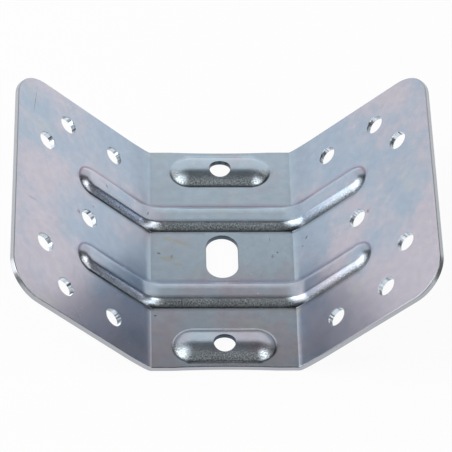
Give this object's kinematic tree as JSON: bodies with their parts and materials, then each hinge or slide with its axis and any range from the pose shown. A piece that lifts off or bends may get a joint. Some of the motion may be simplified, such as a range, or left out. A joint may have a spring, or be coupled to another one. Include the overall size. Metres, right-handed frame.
{
  "type": "corner bracket",
  "caption": "Pressed sheet-steel corner bracket for table legs and frames: a slotted centre web, drilled wings folded up at 45 degrees, ribs across the folds and oval bosses.",
  "frame": {"origin": "middle of the underside of the web, which is the middle of the bottom of the bounding box", "axes": "+X along the span from the left wing to the right wing, +Y along the folds, +Z square to the web towards the open side between the wings"},
  "size_m": [0.1156, 0.08, 0.0374],
  "materials": {
    "zinc_plate": "bright zinc plate with a faint blue and pink tint, satin"
  },
  "bodies": {
    "root": {"corner_bracket": "zinc_plate"}
  },
  "joints": []
}
